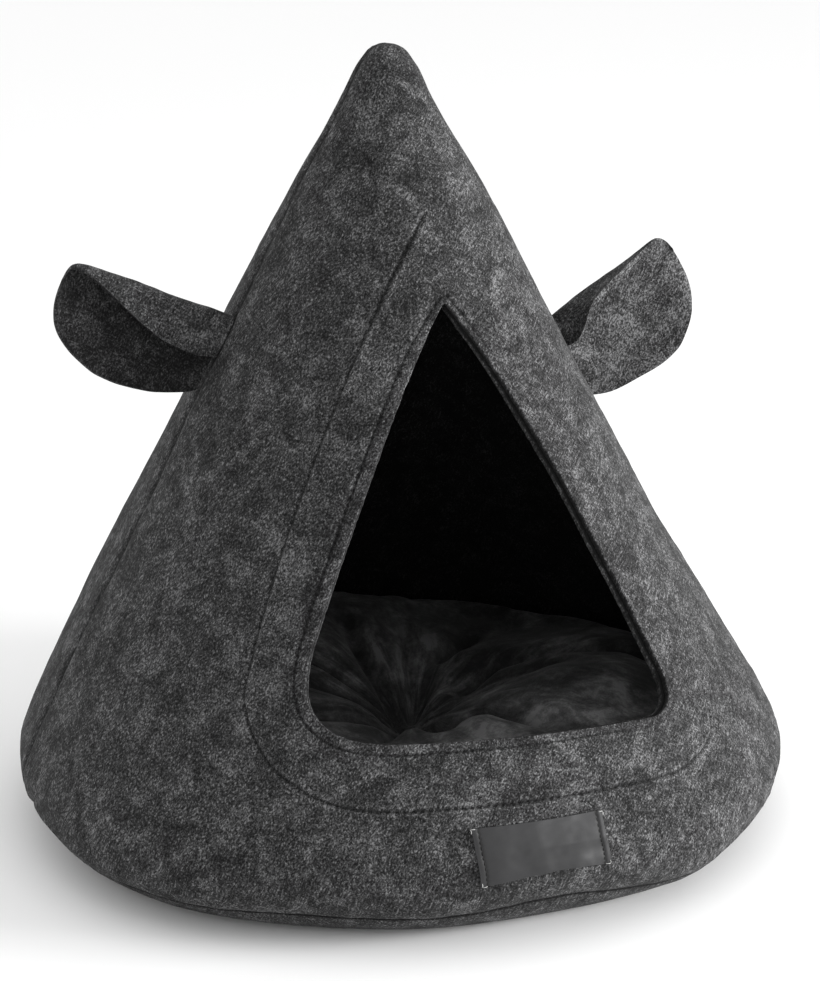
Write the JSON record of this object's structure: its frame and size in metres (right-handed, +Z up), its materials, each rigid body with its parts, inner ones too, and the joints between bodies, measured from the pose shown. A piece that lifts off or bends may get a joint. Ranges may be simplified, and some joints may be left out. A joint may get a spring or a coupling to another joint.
{
  "type": "cat cave",
  "caption": "Cone-shaped felt cat cave with a tall doorway framed by a stitched facing, folded side ears, a plain label and a filled cushion inside.",
  "frame": {"origin": "middle of the flat underside of the base, on the surface that the cave stands on", "axes": "+Z up towards the tip; -Y points out of the doorway, the front; +X to the right seen from the front"},
  "size_m": [0.4573, 0.4604, 0.4525],
  "materials": {
    "charcoal_felt": "thick mottled charcoal-grey polyester felt, matt",
    "woven_label": "smooth dark grey woven tape, slightly satin",
    "dark_plush": "short dark velvety plush"
  },
  "bodies": {
    "root": {"front_panel": "charcoal_felt", "back_panel": "charcoal_felt", "facing": "charcoal_felt", "base": "charcoal_felt", "ear_left": "charcoal_felt", "ear_right": "charcoal_felt", "label": "woven_label", "cushion": "dark_plush"}
  },
  "joints": []
}
